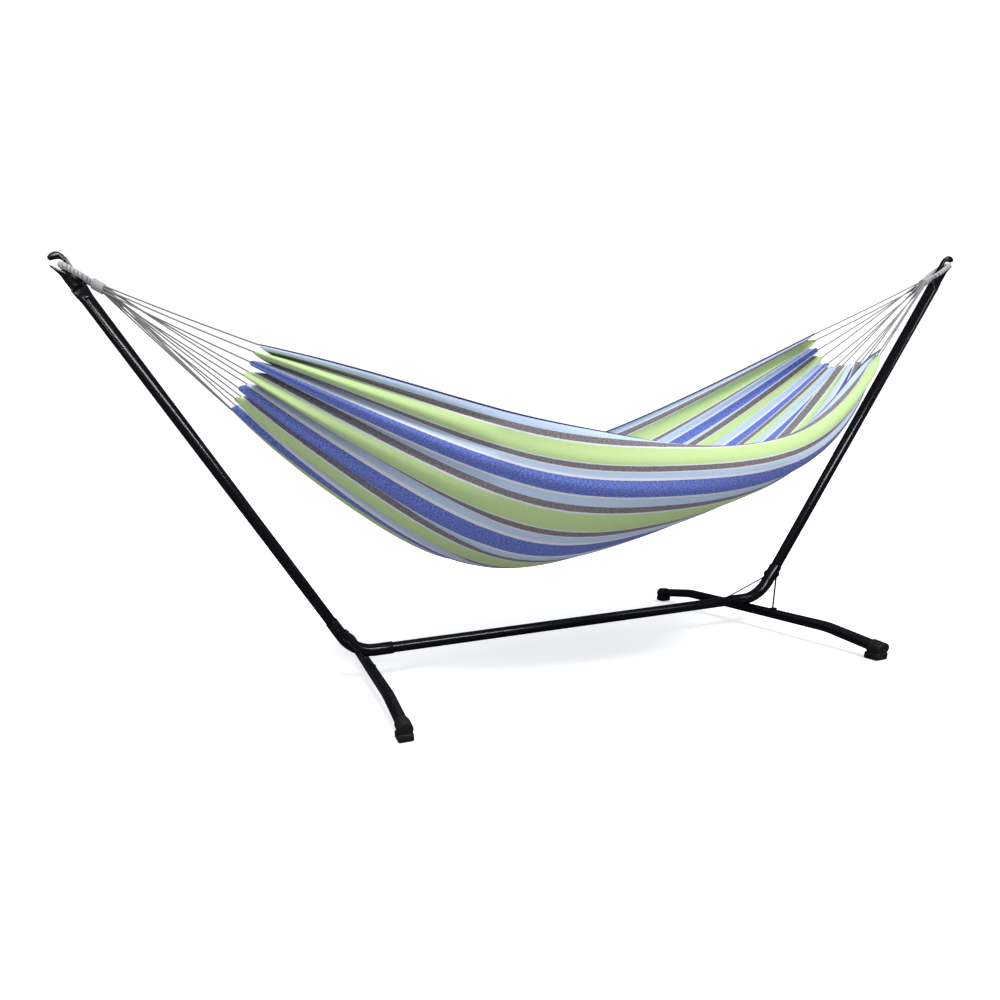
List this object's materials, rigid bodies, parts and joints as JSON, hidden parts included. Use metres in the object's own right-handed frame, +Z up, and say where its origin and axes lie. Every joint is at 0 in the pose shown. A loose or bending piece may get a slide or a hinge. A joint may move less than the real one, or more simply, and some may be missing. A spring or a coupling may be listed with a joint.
{
  "type": "hammock on stand",
  "caption": "Striped fabric hammock gathered at both ends on cord fans, hung by rope loops between the open hooks of a free-standing black tubular steel stand.",
  "frame": {"origin": "on the floor under the middle of the stand, midway between the two hooks and the two sides", "axes": "+X from the left hook to the right hook, +Y across the stand to its far side, +Z up"},
  "size_m": [2.6912, 0.9945, 1.1445],
  "materials": {
    "black_steel": "glossy powder coat",
    "black_plastic": "satin moulded",
    "black_zinc": "satin",
    "striped_cloth": "woven, striped in blue, pale blue, lime green, taupe and white",
    "grey_rope": "whipped with twisted cord",
    "grey_twine": "twisted cord"
  },
  "bodies": {
    "stand": {"beam": "black_steel", "elbow_left": "black_steel", "arm_left": "black_steel", "hook_left": "black_steel", "foot_bar_left": "black_steel", "pad_left_near": "black_plastic", "brace_left_near": "black_steel", "bolt_left_near": "black_zinc", "pad_left_far": "black_plastic", "brace_left_far": "black_steel", "bolt_left_far": "black_zinc", "elbow_right": "black_steel", "arm_right": "black_steel", "hook_right": "black_steel", "foot_bar_right": "black_steel", "pad_right_near": "black_plastic", "brace_right_near": "black_steel", "bolt_right_near": "black_zinc", "pad_right_far": "black_plastic", "brace_right_far": "black_steel", "bolt_right_far": "black_zinc"},
    "hammock": {"bed": "striped_cloth", "loop_left": "grey_rope", "binding_left": "grey_rope", "string_left_01": "grey_twine", "string_left_02": "grey_twine", "string_left_03": "grey_twine", "string_left_04": "grey_twine", "string_left_05": "grey_twine", "string_left_06": "grey_twine", "string_left_07": "grey_twine", "string_left_08": "grey_twine", "string_left_09": "grey_twine", "string_left_10": "grey_twine", "string_left_11": "grey_twine", "string_left_12": "grey_twine", "string_left_13": "grey_twine", "loop_right": "grey_rope", "binding_right": "grey_rope", "string_right_01": "grey_twine", "string_right_02": "grey_twine", "string_right_03": "grey_twine", "string_right_04": "grey_twine", "string_right_05": "grey_twine", "string_right_06": "grey_twine", "string_right_07": "grey_twine", "string_right_08": "grey_twine", "string_right_09": "grey_twine", "string_right_10": "grey_twine", "string_right_11": "grey_twine", "string_right_12": "grey_twine", "string_right_13": "grey_twine"}
  },
  "joints": [
    {"name": "hammock_swing", "type": "hinge", "parent": "stand", "child": "hammock", "pos_m": [0, 0, 1.107], "axis": [1, 0, 0], "range_deg": [-20, 20]}
  ]
}
